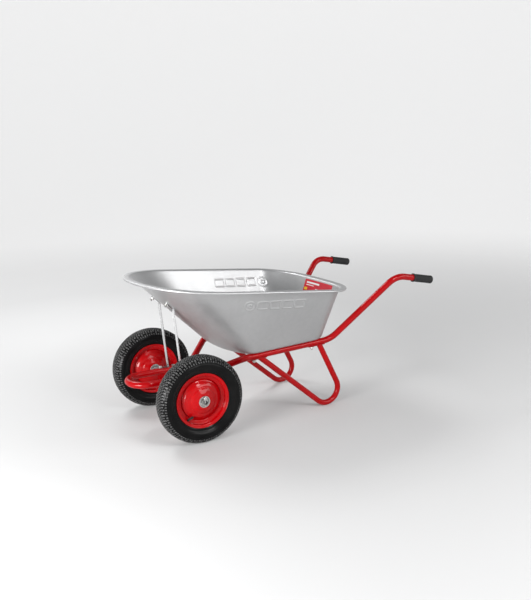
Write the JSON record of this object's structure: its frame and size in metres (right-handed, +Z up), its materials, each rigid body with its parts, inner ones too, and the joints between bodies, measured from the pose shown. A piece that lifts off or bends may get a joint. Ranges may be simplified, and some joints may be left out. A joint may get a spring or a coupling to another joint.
{
  "type": "wheelbarrow",
  "caption": "Builder's wheelbarrow: pressed galvanised tray on a bent red tube frame with looped legs, stays, rubber grips and pneumatic wheels that spin on a through axle.",
  "frame": {"origin": "on the ground, under the middle of the whole barrow's box", "axes": "+X back towards the handles, +Y to the right of the person who pushes it, +Z up"},
  "size_m": [1.3538, 0.6812, 0.6347],
  "materials": {
    "galvanised_sheet": "satin galvanised sheet with a faint spangle",
    "galvanised_strip": "satin galvanised strip",
    "zinc_fastener": "bright zinc plate",
    "frame_paint": "glossy red powder coat",
    "rim_paint": "glossy red paint on pressed steel",
    "steel": "machined steel with a film of grease",
    "tyre_rubber": "moulded tyre rubber",
    "tube_rubber": "smooth butyl rubber",
    "grip_rubber": "soft matt rubber",
    "valve_plastic": "black plastic",
    "label_print": "printed glossy label"
  },
  "bodies": {
    "barrow": {"tray": "galvanised_sheet", "rim_wire": "zinc_fastener", "label": "label_print", "frame_tube": "frame_paint", "leg_left": "frame_paint", "leg_right": "frame_paint", "grip_left": "grip_rubber", "grip_right": "grip_rubber", "stay_left": "galvanised_strip", "stay_right": "galvanised_strip", "stay_bolts": "zinc_fastener", "stay_nuts": "zinc_fastener", "tray_bolts": "zinc_fastener", "tray_washers": "zinc_fastener", "tray_nuts": "zinc_fastener", "axle": "steel", "axle_saddle_left": "frame_paint", "axle_saddle_right": "frame_paint", "axle_strap_left": "frame_paint", "axle_strap_right": "frame_paint", "axle_bolts": "zinc_fastener", "axle_nuts": "zinc_fastener", "axle_collars": "steel", "hub_washers": "zinc_fastener", "split_pins": "zinc_fastener", "bearing_inner_left": "steel", "bearing_inner_right": "steel", "spacer_left": "steel", "spacer_right": "steel"},
    "wheel_left": {"tyre_left": "tyre_rubber", "inner_tube_left": "tube_rubber", "rim_hoop_left": "rim_paint", "disc_outer_left": "rim_paint", "disc_inner_left": "rim_paint", "hub_left": "zinc_fastener", "bearing_outer_left": "steel", "bearing_balls_left": "steel", "valve_stem_left": "tube_rubber", "valve_cap_left": "valve_plastic"},
    "wheel_right": {"tyre_right": "tyre_rubber", "inner_tube_right": "tube_rubber", "rim_hoop_right": "rim_paint", "disc_outer_right": "rim_paint", "disc_inner_right": "rim_paint", "hub_right": "zinc_fastener", "bearing_outer_right": "steel", "bearing_balls_right": "steel", "valve_stem_right": "tube_rubber", "valve_cap_right": "valve_plastic"}
  },
  "joints": [
    {"name": "wheel_left_spin", "type": "hinge", "parent": "barrow", "child": "wheel_left", "pos_m": [-0.4655, -0.2575, 0.18], "axis": [0, 1, 0], "continuous": true},
    {"name": "wheel_right_spin", "type": "hinge", "parent": "barrow", "child": "wheel_right", "pos_m": [-0.4655, 0.2575, 0.18], "axis": [0, 1, 0], "continuous": true}
  ]
}
